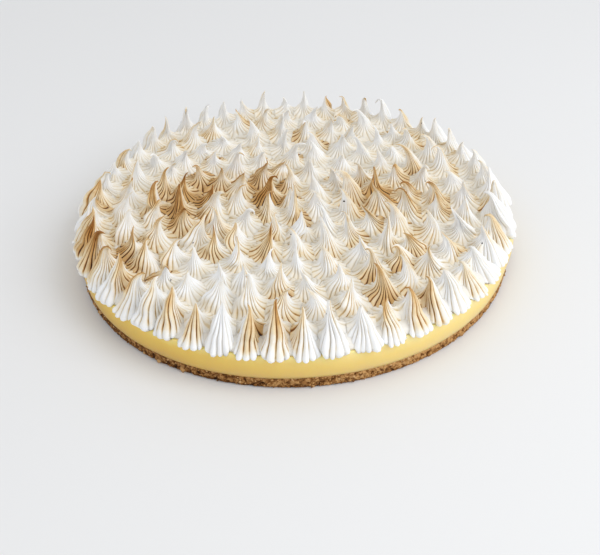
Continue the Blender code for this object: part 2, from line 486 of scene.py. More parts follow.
def nut_finish():
    """Roast nut, cream to brown by each bit's own tone."""
    finish = Finish("chopped_nut", {"Specular IOR Level": 0.15})
    fine = finish.noise(finish.places(), 0.6 * MM, 2.0)
    tone = finish.mark("tone") * 0.85 + fine * 0.3 - 0.08
    stops = [
        (0.0, (0.11, 0.040, 0.010)),
        (0.4, (0.29, 0.132, 0.038)),
        (0.75, (0.50, 0.280, 0.108)),
        (1.0, (0.70, 0.460, 0.230)),
    ]
    finish.drive("Base Color", finish.ramp(tone, stops))
    finish.drive("Roughness", 0.85 - fine * 0.3)
    return finish.material


crust.data.materials.append(crumb_finish())
nuts.data.materials.append(nut_finish())
for piece in (crust, nuts):
    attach(piece, "root")
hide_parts("crumb_crust")

# %% [markdown]
# ## The lemon layer
#
# The filling was poured into the ring over the crust and set there, so its side is smooth, with
# only the faint unevenness of a ring that was eased away, and one place where it bulged. A profile
# turned round the middle gives it, with slow waves of a tenth of a millimetre or so laid over it.

# %% Lemon mesh
LEMON_COLUMNS = 360
LEMON_SIDE_ROWS = 12
LEMON_EDGE = 0.7 * MM  # how far the softened upper edge reaches
LEMON_WAVE = 0.12 * MM
LEMON_SWELL = 0.5 * MM  # how much the side swells out halfway up
BULGE = 2.6 * MM  # how far the filling is pressed out at one place on its side
BULGE_AT = math.radians(-10)
BULGE_SPREAD = math.radians(6.5)
lemon_rng = np.random.default_rng(13)


def lemon_radius(angle):
    """The filling's radius at an angle: round, but for a bulge shaped as a bell curve."""
    return LEMON_RADIUS + BULGE * bell(angle, BULGE_AT, BULGE_SPREAD)


def make_lemon():
    """A disc whose side is a grid of (angle, height), swollen halfway up and dented by slow waves.

    Its lower edge follows the crust's, and its upper edge is rounded over a quarter turn.
    """
    angle = 2 * math.pi * np.arange(LEMON_COLUMNS) / LEMON_COLUMNS
    up = np.linspace(0, 1, LEMON_SIDE_ROWS)[:, None]
    waves = sum(
        np.sin(k * angle + lemon_rng.uniform(0, 6.3) + slant * up) / 5
        for k, slant in ((5, 2.0), (11, -3.0), (19, 2.5), (34, 4.0), (57, -5.0))
    )
    side = lemon_radius(angle) - LEMON_WAVE * (1 + waves) - LEMON_SWELL * (2 * up - 1) ** 2
    low = lemon_low.z + crust_rise(angle)
    height = low + up * (LEMON_TOP - LEMON_EDGE - low)
    turn = np.linspace(0.25, 1.0, 4)[:, None] * math.pi / 2
    shoulder = side[-1] - LEMON_EDGE * (1 - np.cos(turn))
    shoulder_height = LEMON_TOP - LEMON_EDGE * (1 - np.sin(turn)) * np.ones_like(angle)
    ones = np.ones((1, LEMON_COLUMNS))
    inner = FLAT_SHARE * LEMON_RADIUS * ones
    radius = np.concatenate([inner, side, shoulder, inner])
    heights = np.concatenate([lemon_low.z * ones, height, shoulder_height, LEMON_TOP * ones])
    return turned_piece("lemon_layer", angle, radius, heights)


lemon = make_lemon()


# %% Lemon finish
def lemon_finish():
    """Yellow cream with faint clouds and pores; painted shade low down, and a painted sheen upwards and towards
    +X.
    """
    constants = {
        "Subsurface Weight": 0.35,
        "Subsurface Radius": (1.0, 0.55, 0.15),
        "Subsurface Scale": 2.5 * MM,
        "Specular IOR Level": 0.9,
    }
    finish = Finish("lemon_cream", constants)
    places = finish.places()
    clouds = finish.noise(places, 14 * MM, 3.0)
    fine = finish.noise(places, 1.2 * MM, 3.0)
    # Painted light and shade: the colour is darker low down and paler up to the upper edge, where a painted sheen
    # lies.
    tone = (finish.part(places, "Z") - lemon_low.z) / (LEMON_TOP - lemon_low.z) + clouds * 0.4 + fine * 0.1 - 0.25
    shaded_side_stops = [
        (0.0, (0.67, 0.418, 0.100)),
        (0.3, (0.75, 0.475, 0.068)),
        (0.75, (0.86, 0.580, 0.075)),
        (1.0, (0.95, 0.745, 0.220)),
    ]
    lit_side_stops = [(0.0, (0.79, 0.595, 0.240)), (0.5, (0.90, 0.695, 0.225)), (1.0, (0.95, 0.800, 0.370))]
    # Painted sheen: the side towards +X, where the lamp is, is paler and whiter.
    painted_light = finish.between(finish.part(places, "X"), -0.09, 0.12)
    rich, pale = finish.ramp(tone, shaded_side_stops), finish.ramp(tone, lit_side_stops)
    finish.drive("Base Color", finish.blend(painted_light, rich, pale))
    finish.drive("Roughness", 0.36 + fine * 0.2)
    finish.relief(clouds * 0.6 + fine * 0.4, 0.12 * MM)
    return finish.material


lemon.data.materials.append(lemon_finish())
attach(lemon, "root")
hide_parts("lemon_filling")

# %% [markdown]
# ## Where the peaks stand
#
# The meringue was piped in rings from the rim inwards. Every peak's place, height and lean are
# drawn from a seeded generator in the same order as in the solid model, so that each detailed peak
# stands exactly on the plain one that it replaces.

# %% Peak places
PEAK_SEED = 26
RINGS = 8
RIM_RING_RADIUS = 0.1197
RIM_PEAKS = 52
RIM_TURN = math.radians(-95.1)
PEAK_PITCH = 0.0182
PEAK_HEIGHT = 0.0235
HEIGHT_SPREAD = (0.82, 1.14)
STRAY_AROUND = 0.09
STRAY_OUTWARDS = 0.0012
INNER_STRAY = 2
LEAN_SPREAD = 0.7
LEAN_REACH = (0.0020, 0.0080)
RIM_LEAN_SHARE = 0.4
SLUMP_SPOT = (0.1010, -0.0740)
SLUMP_RADIUS = 0.0120
SLUMP_DEPTH = 0.42


def spot(points, x, y, size):
    """1 in the middle of a spot and less around it, as a bell curve: e^-(distance / size)^2."""
    return np.exp(-((points[..., 0] - x) ** 2 + (points[..., 1] - y) ** 2) / size**2)


def lay_out_peaks():
    """Rings of peaks: each one's ring, place, height and lean. The rim is ring 0.

    A ring holds as many peaks as fit at PEAK_PITCH, and the rim RIM_PEAKS. Each strays a little,
    and leans towards the middle, give or take. Heights dip as a bell curve near SLUMP_SPOT.
    """
    rng = np.random.default_rng(PEAK_SEED)
    rings, places, heights, leans = [], [], [], []
    for ring, radius in enumerate(np.linspace(RIM_RING_RADIUS, 0.0, RINGS)):
        on_rim = ring == 0
        count = RIM_PEAKS if on_rim else max(1, round(2 * math.pi * radius / PEAK_PITCH))
        start = RIM_TURN if on_rim else rng.uniform(0, 2 * math.pi)
        around, outwards = rng.uniform(-1, 1, (2, count)) * (1 if on_rim else INNER_STRAY)
        angle = start + 2 * math.pi * (np.arange(count) + STRAY_AROUND * around) / count
        out = radius + STRAY_OUTWARDS * outwards
        places.append(np.stack([out * np.cos(angle), out * np.sin(angle)], axis=1))
        heights.append(PEAK_HEIGHT * rng.uniform(*HEIGHT_SPREAD, count))
        way = angle + math.pi + rng.normal(0, LEAN_SPREAD, count)
        lean = rng.uniform(*LEAN_REACH, count) * (RIM_LEAN_SHARE if on_rim else 1)
        leans.append(np.stack([lean * np.cos(way), lean * np.sin(way)], axis=1))
        rings.append(np.full(count, ring))
    places = np.concatenate(places)
    slumped = 1.0 - SLUMP_DEPTH * spot(places, *SLUMP_SPOT, SLUMP_RADIUS)
    return np.concatenate(rings), places, np.concatenate(heights) * slumped, np.concatenate(leans)


peak_ring, peak_place, peak_height, peak_lean = lay_out_peaks()
PEAKS = len(peak_place)
peak_angle = np.arctan2(peak_place[:, 1], peak_place[:, 0])[:, None]
lean_way = np.arctan2(peak_lean[:, 1], peak_lean[:, 0])[:, None]
on_rim = peak_ring == 0
print(f"{PEAKS} peaks, {1000 * peak_height.min():.0f} to {1000 * peak_height.max():.0f} mm high")

# %% [markdown]
# ## The shape of a piped peak
#
# A star nozzle is pressed down, squeezed and pulled away. That leaves a round foot of convex lobes
# with sharp grooves between them, which draw together to a thin tip that leans, hooks or curls
# over. The surface is a grid: columns go round, a few to each lobe and closest together at the
# grooves, and rows go up a bent spine. Feet spread until they meet the neighbours' feet, as the
# cells of a Voronoi pattern do.

# %% Columns and rows
LOBES = 20
RIM_OPENING = 0.12  # on the rim, lobes that face outwards are this share wider, and the others narrower
LOBE_STEPS = (0.0, 0.13, 0.37, 0.63, 0.87)  # places across a lobe, from groove to groove
COLUMNS = LOBES * len(LOBE_STEPS)
ROWS = 24
peak_rng = np.random.default_rng(31)


def lobe_columns():
    """For every peak and column: the angle, the place across the lobe, and the lobe's number.

    The lobes of one peak are of unequal width: a running sum of random widths, brought to a turn.
    On the rim the angle is then moved by RIM_OPENING times the sine of its way from the outside.
    """
    widths = peak_rng.uniform(0.7, 1.3, (PEAKS, LOBES))
    widths *= 2 * math.pi / widths.sum(axis=1, keepdims=True)
    edges = np.cumsum(widths, axis=1) - widths + peak_rng.uniform(0, 2 * math.pi, (PEAKS, 1))
    angle = (edges[:, :, None] + widths[:, :, None] * np.array(LOBE_STEPS)).reshape(PEAKS, COLUMNS)
    angle += RIM_OPENING * np.sin(angle - peak_angle) * on_rim[:, None]
    across = np.tile(LOBE_STEPS, LOBES)
    number = np.repeat(np.arange(LOBES), len(LOBE_STEPS))
    return angle, across, number


column_angle, column_across, column_lobe = lobe_columns()
from_back = np.angle(np.exp(1j * (column_angle - lean_way - math.pi)))[:, None]  # 0 at the back of the lean
row_step = np.linspace(0, 1, ROWS)[:-1]  # the last step is the tip itself, a single point
print(f"{COLUMNS} columns by {len(row_step)} rows a peak")


# %% How far the feet spread
FOOT_CORNER = 26  # the lower, the rounder the feet's corners
RIM_CORNER = 9  # the same where a foot's edge turns to the rim
RIM_REACH = 0.1338
RIM_LEAN = 2.2 * MM  # the rim's peaks lean in: their feet stand this much further out than their tips
BARE_SPOT = (0.1160, -0.0600)  # round here the feet stop short, and the lemon's edge shows
BARE_RADIUS = 0.0210
BARE_WIDTH = 6.0 * MM

outwards = peak_place / np.maximum(np.linalg.norm(peak_place, axis=1, keepdims=True), 1e-9)
foot_place = peak_place + RIM_LEAN * outwards * on_rim[:, None]


def foot_reach(angle):
    """How far a foot reaches at each angle, and how far it is the rim and not a neighbour that ends it.

    The limits L are the midway lines to the neighbours, and the rim. They are joined softly into
    one, (sum of L^-n)^(-1/n), which rounds the corners.
    """
    way = np.stack([np.cos(angle), np.sin(angle)], axis=-1)
    to_others = foot_place[None] - foot_place[:, None]
    apart = (to_others**2).sum(axis=-1)
    towards = np.einsum("pck,pnk->pcn", way, to_others)
    closeness = np.maximum(2 * towards, 0) / np.maximum(apart, 1e-9)[:, None]
    along = np.einsum("pck,pk->pc", way, foot_place)
    rim_squared = (RIM_REACH - BARE_WIDTH * spot(foot_place, *BARE_SPOT, BARE_RADIUS)) ** 2
    to_rim = -along + np.sqrt(along**2 + (rim_squared - (foot_place**2).sum(axis=1))[:, None])
    between_feet = (closeness**FOOT_CORNER).sum(axis=-1) ** (-1 / FOOT_CORNER)
    total = between_feet**-RIM_CORNER + to_rim**-RIM_CORNER
    return total ** (-1 / RIM_CORNER), between_feet, to_rim**-RIM_CORNER / total


def foot_radius(angle, reach):
    """How far from the middle of the pie each foot's edge lies."""
    way = np.stack([np.cos(angle), np.sin(angle)], axis=-1)
    return np.linalg.norm(foot_place[:, None] + reach[..., None] * way, axis=-1)


reach, shared_reach, rim_share = foot_reach(column_angle)
free_side = smoothstep(-0.25, 0.35, np.cos(column_angle - peak_angle)) * on_rim[:, None]
rim_foot = RIM_REACH - np.linalg.norm(foot_place, axis=1)


def by_side(inside, outside):
    """The first value where a peak faces the others, and the second where it faces out."""
    return inside + free_side[:, None] * (outside - inside)


print(f"feet reach {1000 * reach.min():.1f} to {1000 * reach.max():.1f} mm")

# %% [markdown]
# The feet run together into one thick layer, and only its upper half stands up as peaks. There a
# peak is drawn up like a tent: steep at the tip and ever flatter towards the valley, where the next
# peak's slope takes over. On the rim, where nothing holds it, a foot stays as round as it was piped
# and reaches down to the lemon. So there are two outlines, each a smooth curve through a few stops,
# and the rim peaks change from one to the other as they turn to the outside. Further towards +Y the
# peaks are drawn thinner, as those of this pie are.

# %% Outlines
TENT = (  # share of the way up, share of the reach, share of the rise above the valley
    (0.00, 1.02, -0.008),
    (0.12, 0.88, 0.02),
    (0.25, 0.72, 0.08),
    (0.40, 0.53, 0.18),
    (0.55, 0.34, 0.325),
    (0.70, 0.175, 0.53),
    (0.85, 0.07, 0.77),
    (1.00, 0.012, 1.00),
)
DOLLOP = (
    (0.00, 0.94, 0.00),
    (0.12, 1.02, 0.05),
    (0.25, 0.97, 0.12),
    (0.40, 0.83, 0.22),
    (0.55, 0.65, 0.36),
    (0.70, 0.44, 0.54),
    (0.85, 0.19, 0.76),
    (1.00, 0.012, 1.00),
)
VALLEY_HEIGHT = 10.0 * MM
VALLEY_REACH = 9.0 * MM
VALLEY_FALL = 0.8  # a valley further from its peak than VALLEY_REACH is lower by this share of the rest
SLENDERNESS = (0.85, 1.25)  # powers of the share of the height: over 1 is thinner than the outline
SLENDER_BEHIND = (0.2, 0.5)  # added to the power far towards +Y, for an inner and a rim peak


def smooth_through(stops, x):
    """A smooth curve through stops (x, y, ...): cubic Hermite pieces with averaged slopes."""
    xs, ys = np.array(stops)[:, 0], np.array(stops)[:, 1:]
    slopes = np.gradient(ys, xs, axis=0)
    k = np.clip(np.searchsorted(xs, x, side="right") - 1, 0, len(xs) - 2)
    width = (xs[k + 1] - xs[k])[:, None]
    t = (x - xs[k])[:, None] / width
    start = (1 + 2 * t) * (1 - t) ** 2 * ys[k] + t * (1 - t) ** 2 * width * slopes[k]
    end = t**2 * (3 - 2 * t) * ys[k + 1] + t**2 * (t - 1) * width * slopes[k + 1]
    return start + end


valley = VALLEY_HEIGHT - VALLEY_FALL * (reach - VALLEY_REACH)


def outlines():
    """The share of the reach and the height of every point: peaks by rows by columns.

    The height is the valley's plus a share of the rise above it, to a power that thins the peak.
    """
    tent, dollop = (smooth_through(stops, row_step).T[:, None, :, None] for stops in (TENT, DOLLOP))
    reach_share, rise_share = by_side(tent, dollop)
    slender = peak_rng.uniform(*SLENDERNESS, (PEAKS, 1, 1))
    behind = smoothstep(-0.05, 0.10, peak_place[:, 1]) * np.where(on_rim, *SLENDER_BEHIND[::-1])
    slender += behind[:, None, None]
    share = np.maximum(rise_share, 0) ** slender + np.minimum(rise_share, 0)
    start = (valley * (1 - free_side))[:, None]
    height = start + share * (peak_height[:, None, None] - start)
    return reach_share, height


reach_share, point_height = outlines()
rise = (point_height - valley[:, None]) / (peak_height[:, None, None] - valley[:, None])
rise = np.clip(rise, 0, 1)
print(f"valleys {1000 * valley.min():.0f} to {1000 * valley.max():.0f} mm above the lemon")


# %% Lobes, keels and sway
LOBE_ROUNDNESS = 0.55  # the lower, the fuller the lobes and the narrower the grooves
TENT_GROOVES = ((0.0, 0.0), (0.15, 0.10), (0.35, 0.23), (0.6, 0.32), (0.85, 0.22), (1.0, 0.0))
DOLLOP_GROOVES = ((0.0, 0.12), (0.25, 0.17), (0.5, 0.27), (0.75, 0.28), (1.0, 0.0))
VALLEY_GROOVE = 0.8 * MM
LOBE_SPREAD = 0.06  # by how much of the radius one lobe differs from another
SWAYS = ((2, 0.07), (3, 0.06), (5, 0.03))  # slow waves round a peak: how many, and how large a share
KEEL = 0.8  # the most that a keel adds to the radius, as a share
KEEL_SPREAD = 0.40  # its width round the peak, in radians
FLATTENING = 0.18  # peaks are this much thicker along their lean than the mean, and thinner across
RIM_FULLNESS = 0.16  # halfway up, the rim's peaks swell outwards by this share
RIM_KEEL = 0.3  # the rim's peaks have this share of the others' keels
SQUEEZE = 8  # the higher, the sharper the line where two feet on the rim press on each other
bulge = np.sin(math.pi * column_across) ** LOBE_ROUNDNESS


def peak_radius():
    """Each point's distance from its spine: peaks by rows by columns.

    Reach times outline, times the lobes, times a slow sway. Towards the tip every peak is drawn
    out along its lean, with a keel down its back, as a dragged nozzle leaves it.
    """
    up = row_step[None, :, None]
    round_share = smoothstep(0.25, 0.75, up)
    base = reach[:, None] ** (1 - round_share) * reach.mean(axis=1)[:, None, None] ** round_share
    lobe_size = peak_rng.normal(size=(PEAKS, LOBES))[:, None, column_lobe]
    depth = by_side(*(smooth_through(stops, row_step)[None] for stops in (TENT_GROOVES, DOLLOP_GROOVES)))
    loose = by_side(smoothstep(0.0, 0.2, up), 1)
    lobes = 1 - depth * (1 - bulge) + LOBE_SPREAD * lobe_size * bulge * loose * (1 - up)
    sway = np.zeros((PEAKS, 1, COLUMNS))
    for turns, size in SWAYS:
        start = peak_rng.uniform(0, 2 * math.pi, (PEAKS, 1))
        sway += (size * np.cos(turns * column_angle + start))[:, None]
    upper = smoothstep(0.03, 0.30, rise) * (1 - smoothstep(0.80, 1.0, rise))
    keel = peak_rng.uniform(0.0, KEEL, (PEAKS, 1, 1)) * np.exp(-((from_back / KEEL_SPREAD) ** 2))
    keel *= np.where(on_rim, RIM_KEEL, 1.0)[:, None, None]
    flat = FLATTENING * np.cos(2 * from_back)
    inner_sway = sway * smoothstep(0.05, 0.3, up)
    squeezed = (rim_foot[:, None] ** -SQUEEZE + (1.02 * shared_reach) ** -SQUEEZE) ** (-1 / SQUEEZE)
    facing_out = smoothstep(0.6, 1.0, np.cos(column_angle - peak_angle)) * on_rim[:, None]
    squeezed = squeezed[:, None] * (1 + RIM_FULLNESS * facing_out[:, None] * np.sin(math.pi * up))
    base = by_side(base, squeezed)
    return base * reach_share * lobes * (1 + inner_sway) * (1 + upper * (keel + flat))


radius = peak_radius()

# %% [markdown]
# The spine starts upright at the level of the valleys and bends more and more towards the peak's
# lean. Near the top it bends further, over into a hook, or back up like the crest of a wave. Adding
# up small steps along the bending direction gives the curve, and sections stay level low down but
# turn with the spine at the thin end, so that a hook keeps its thickness.

# %% Spines
SPINE_STEPS = 200
HOOK_START = 0.62
CURLED_SHARE = 0.36
SLUMPED_HOOK = 2.2
TWIST = 0.45
SWIRL = 0.30  # radians by which the lobes bend aside halfway up, on the whole and on one flank


def spines():
    """Each spine's path, tilt and direction at SPINE_STEPS + 1 even steps from valley to tip.

    The tilt from upright grows evenly, and past HOOK_START by the hook as well. The path is the
    running sum of those directions, scaled so that its highest point is at the peak's height.
    """
    size = np.linalg.norm(peak_lean, axis=1)
    tall = peak_height - VALLEY_HEIGHT
    bend = (2.1 * size / tall)[:, None]
    hook = peak_rng.normal(0.2, 0.65, (PEAKS, 1))
    curled = peak_rng.uniform(size=(PEAKS, 1)) < CURLED_SHARE
    hook = np.where(curled, peak_rng.uniform(1.4, 2.8, (PEAKS, 1)), hook)
    slumped = np.linalg.norm(peak_place - SLUMP_SPOT, axis=1) < SLUMP_RADIUS
    hook[slumped] = SLUMPED_HOOK
    step = np.linspace(0, 1, SPINE_STEPS + 1)
    tilt = bend * step + hook * smoothstep(HOOK_START, 1.0, step)
    veer = lean_way + peak_rng.normal(0, 0.8, (PEAKS, 1)) * smoothstep(0.5, 1.0, step)
    ahead = np.stack([np.sin(tilt) * np.cos(veer), np.sin(tilt) * np.sin(veer), np.cos(tilt)], axis=-1)
    path = np.cumsum(ahead, axis=1) - ahead[:, :1]
    path *= (tall / path[..., 2].max(axis=1))[:, None, None]
    path[..., 2] += VALLEY_HEIGHT
    return path, tilt * smoothstep(0.40, 0.75, step), veer


spine, spine_tilt, spine_veer = spines()
print(f"tips lie up to {1000 * np.linalg.norm(spine[:, -1, :2], axis=1).max():.1f} mm to the side")

# %% [markdown]
# Each point is its spine's place plus its distance from it, at its column's angle, in a section
# that is tilted about a level axis. Grooves run out into the valleys as shallow pleats. On the rim
# the feet hang a few millimetres over the lemon's edge, and close beside its side.

# %% Peak points
RIM_DROOP = 1.6 * MM
LOBE_DROOP = 0.9 * MM  # the middle of a lobe hangs this much lower than the grooves beside it
HANG_SPAN = (-2.0 * MM, 1.4 * MM)  # from the lemon's side: where a foot starts to hang, and hangs in full
HANG_HEIGHT = 8.0 * MM  # above this nothing is lowered
SIDE_CLEAR = 0.2 * MM  # between the hanging feet and the lemon's side
UNDERSIDE_SHARE = 0.985  # a foot's floor closes in from this share of the way out to its edge
WAVES = 5
WAVER_LENGTH = 12.0 * MM
WAVER = 0.4 * MM


def waver(points):
    """A small shift at every place, so that lobes waver: each way, the sum of a few slow waves."""
    waves = peak_rng.normal(0, 1, (WAVES, 3))
    waves *= 2 * math.pi / (WAVER_LENGTH * np.linalg.norm(waves, axis=1, keepdims=True))
    phases = points @ waves.T
    shift = [np.sin(phases + peak_rng.uniform(0, 6.3, WAVES)).sum(axis=-1) for axis in "xyz"]
    return WAVER / math.sqrt(WAVES) * np.stack(shift, axis=-1)


def peak_points():
    """Every point of every peak: peaks by rows by columns by three."""
    peak = np.arange(PEAKS)[:, None, None]
    step = np.rint(rise * SPINE_STEPS).astype(int)
    middle, tilt, veer = spine[peak, step].copy(), spine_tilt[peak, step], spine_veer[peak, step]
    middle[..., 2] = point_height + (middle[..., 2] - point_height) * smoothstep(0.05, 0.5, rise)
    share_up = point_height / peak_height[:, None, None]
    footing = (foot_place - peak_place)[:, None, None]
    middle[..., :2] += footing * (1 - smoothstep(0.1, 0.9, share_up))[..., None]
    pleat = (1 - smoothstep(0.0, 0.45, row_step))[None, :, None] * (1 - free_side)[:, None]
    middle[..., 2] -= VALLEY_GROOVE * (1 - bulge) * pleat
    twist = TWIST * peak_rng.normal(size=(PEAKS, 1, 1)) * smoothstep(0.0, 1.0, rise)
    bends, where = peak_rng.normal(0, SWIRL, (2, PEAKS, 1, 1)), peak_rng.uniform(0, 6.3, (PEAKS, 1, 1))
    bend = bends[0] + bends[1] * np.sin(column_angle[:, None] + where)
    twist = twist + bend * np.sin(math.pi * rise) * (1 - 0.6 * free_side[:, None])
    angle = column_angle[:, None] + twist
    forward = radius * np.cos(angle - veer)
    sideways = radius * np.sin(angle - veer)
    x = forward * np.cos(tilt) * np.cos(veer) - sideways * np.sin(veer)
    y = forward * np.cos(tilt) * np.sin(veer) + sideways * np.cos(veer)
    points = np.stack([x, y, -forward * np.sin(tilt)], axis=-1) + middle
    points[..., :2] += peak_place[:, None, None]
    points += waver(points) * (smoothstep(0.0, 0.1, share_up) * (1 - smoothstep(0.75, 1.0, share_up)))[..., None]
    points[..., 2] += MERINGUE_BOTTOM
    return points


def hang_over_rim(points):
    """Lowers the feet's outermost lobes past the lemon's edge, and keeps them outside its side."""
    foot = foot_radius(column_angle, reach)
    over = smoothstep(*(LEMON_RADIUS + np.array(HANG_SPAN)), foot)
    droop = smoothstep(0.35, 1.0, rim_share) * free_side * over * (RIM_DROOP + LOBE_DROOP * (bulge - 1))
    points[..., 2] -= droop[:, None] * (1 - smoothstep(0.0, HANG_HEIGHT, point_height))
    out = np.linalg.norm(points[..., :2], axis=-1)
    clear = lemon_radius(np.arctan2(points[..., 1], points[..., 0])) + SIDE_CLEAR
    below = (points[..., 2] < MERINGUE_BOTTOM - 1e-5) & (free_side[:, None] > 0)
    push = np.where(below & (out < clear), clear / out, 1.0)
    points[..., :2] *= push[..., None]
    return points


def at_foot_level(places):
    """Points at the level of the meringue's underside, one for each place."""
    return np.column_stack([places, np.full(len(places), MERINGUE_BOTTOM)])


def undersides(points):
    """A row just inside each foot, at the lemon's top, from which the foot's floor closes."""
    row = points[:, 0].copy()
    out = np.linalg.norm(row[..., :2], axis=-1, keepdims=True)
    row[..., :2] *= np.minimum(1.0, (LEMON_RADIUS + SIDE_CLEAR) / out)
    row[..., 2] = MERINGUE_BOTTOM
    middle = at_foot_level(foot_place)[:, None]
    return middle + (row - middle) * UNDERSIDE_SHARE


peaks_xyz = hang_over_rim(peak_points())
floors = undersides(peaks_xyz)
tips = spine[:, -1] + at_foot_level(peak_place)
print(f"the feet reach {1000 * np.linalg.norm(peaks_xyz[..., :2], axis=-1).max():.1f} mm from the middle")

# %% [markdown]
# ## Where the torch went
#
# A torch moved by hand leaves patches. Some peaks hardly caught it and a few went nearly black. A
# peak that leans away from the flame shows it its back, so the backs have caught more than the
# slopes under the lean. Each point of the meringue gets a toast number: a few named patches and a
# random share for each peak, most of it on the back. The finish then breaks its edges up with noise.

# %% Toast on every point
TORCH_PATCHES = (  # x, y and radius in millimetres, and how strongly it browned
    (-69, -5, 17, 1.10),
    (-66, -25, 13, 0.75),
    (-66, 24, 15, 0.70),
    (-51, 16, 13, 1.10),
    (-14, 6, 21, 0.78),
    (-17, 23, 18, 0.62),
    (59, -1, 27, 0.96),
    (42, 4, 12, 0.50),
    (65, -54, 12, 0.50),
    (66, -72, 10, 0.45),
    (44, -84, 12, 0.30),
    (56, -96, 9, 0.30),
    (-100, -50, 23, 0.54),
    (-120, -40, 24, 0.62),
    (-128, 10, 20, 0.28),
    (-97, 10, 16, 0.28),
    (-90, -75, 14, 0.35),
    (-73, -108, 14, 0.35),
    (-9, -122, 14, 0.45),
    (-4, -104, 12, 0.25),
    (-46, -38, 14, 0.60),
    (-12, -46, 14, 0.55),
    (22, -56, 14, 0.30),
    (46, -108, 14, 0.25),
    (118, -44, 12, 0.40),
    (85, 64, 14, 0.40),
    (-21, 104, 15, 0.45),
    (37, 104, 16, 0.40),
    (103, 50, 16, 0.30),
    (-70, 70, 14, 0.30),
)
CHARRED_CURL = (-50, 14, 6)  # x, y and radius in millimetres of the one spot that burnt black
MOST_TOAST = 1.35
OWN_TOAST = (0.04, 0.62)  # a peak's own share: the least, and the most that chance adds to it
PATCH_GAIN = 1.2
TIP_GAIN = 0.35  # by how much more a patch browns the tips
BURNT_TIPS = 0.07  # the share of the tips that are charred
toast_rng = np.random.default_rng(32)


def toast_marks(points):
    """Toast from 0, white, to about 1, charred, on peaks by rows by columns.

    It is the peak's own share and the patches round it, both more on the side that faced the
    flame, and a crest down its back, times a share for each lobe. The rim's feet stay white.
    """
    toast = sum(strength * spot(points, *(MM * np.array(place))) for *place, strength in TORCH_PATCHES)
    own = OWN_TOAST[0] + OWN_TOAST[1] * toast_rng.uniform(0, 1, (PEAKS, 1, 1)) ** 2.3
    aside = toast_rng.normal(0, 0.8, (PEAKS, 1, 1))
    faced = smoothstep(-0.3, 0.9, np.cos(from_back - aside))
    lobe_share = toast_rng.uniform(0.8, 1.2, (PEAKS, LOBES))[:, None, column_lobe]
    fade = toast_rng.uniform(2.5, 8.0, (PEAKS, 1, 1)) * MM
    foot = 1 - free_side[:, None] * (1 - smoothstep(0.0, 1.0, point_height / fade))
    crest = np.exp(-((from_back / 0.3) ** 2)) * smoothstep(0.1, 0.5, rise)
    crest *= toast_rng.uniform(-0.1, 0.4, (PEAKS, 1, 1))
    own = own * (0.12 + 0.88 * faced)
    near_tip = 1 + TIP_GAIN * smoothstep(0.35, 0.8, rise)
    browned = own + PATCH_GAIN * toast * (0.45 + 0.55 * faced) * near_tip + crest
    charred = spot(points, *(MM * np.array(CHARRED_CURL))) * smoothstep(0.3, 0.7, rise)
    return np.minimum(browned * lobe_share, MOST_TOAST) * foot + charred


def tip_toast(marks):
    """Many tips are a little browner than the rest, and a few are charred."""
    tip = np.clip(toast_rng.normal(0.12, 0.25, (PEAKS, 1, 1)), 0, 1)
    burnt = toast_rng.uniform(size=(PEAKS, 1, 1)) < BURNT_TIPS
    tip = np.where(burnt, 1.0, tip)
    return marks + tip * smoothstep(0.75, 1.0, rise)


toast = tip_toast(toast_marks(peaks_xyz))
print(f"toast: {np.mean(toast > 0.3):.0%} of the points are tan or darker")


# %% [markdown]
# ## Meringue pieces
#
# A piece is a group of neighbouring rings, to keep every mesh of a handy size. In a piece each peak
# is the same grid of faces with its own points. The piece's own map counts lobes round the peak one
# way and the share of the height the other way, so that a finish can follow the lobes.


# %% Peaks to meshes
def lobe_corners():
    """The lobe map at the corners of one peak's quads and triangles."""
    place = column_lobe + column_across
    after = np.append(place[1:], LOBES)
    up = np.concatenate([[-0.05], row_step])
    low, high = (np.broadcast_to(u[:, None], (ROWS - 1, COLUMNS)) for u in (up[:-1], up[1:]))
    left, right = (np.broadcast_to(p, (ROWS - 1, COLUMNS)) for p in (place, after))
    quads = np.stack([left, low, right, low, right, high, left, high], axis=-1).reshape(-1, 2)
    flat, tip = np.full(COLUMNS, -0.1), np.ones(COLUMNS)
    below = np.stack([place, flat, after, flat + 0.05, place, flat + 0.05], axis=-1).reshape(-1, 2)
    last = np.full(COLUMNS, row_step[-1])
    above = np.stack([place, tip, place, last, after, last], axis=-1).reshape(-1, 2)
    return quads, np.concatenate([below, above])


def meringue_piece(name, chosen):
    """One mesh of the chosen peaks."""
    count = len(chosen)
    grid = np.concatenate([floors[chosen][:, None], peaks_xyz[chosen]], axis=1).reshape(count, -1, 3)
    middle = at_foot_level(foot_place[chosen])
    points = np.concatenate([grid, middle[:, None], tips[chosen][:, None]], axis=1)
    size = points.shape[1]
    offset = size * np.arange(count)[:, None, None]
    quads = (grid_quads(ROWS, COLUMNS)[None] + offset).reshape(-1, 4)
    triangles = (pole_fans(ROWS, COLUMNS)[None] + offset).reshape(-1, 3)
    quad_map, fan_map = lobe_corners()
    lobe_map = np.concatenate([np.tile(quad_map, (count, 1)), np.tile(fan_map, (count, 1))])
    flat = np.zeros((count, COLUMNS))
    browned = toast[chosen].reshape(count, -1)
    ends = toast[chosen][:, -1].mean(axis=-1, keepdims=True)
    # The valleys, where the finish paints shade and a cream tint.
    low = ((1 - smoothstep(0.0, 0.30, rise)) * (1 - free_side[:, None]))[chosen].reshape(count, -1)
    marks = {
        "toast": np.concatenate([flat, browned, np.zeros((count, 1)), ends], axis=1),
        "hollow": np.concatenate([flat, low, np.zeros((count, 2))], axis=1),
        "own": np.repeat(toast_rng.uniform(0, 1, count), size),
    }
    return mesh_piece(name, points.reshape(-1, 3), quads, triangles, marks, lobe_map)


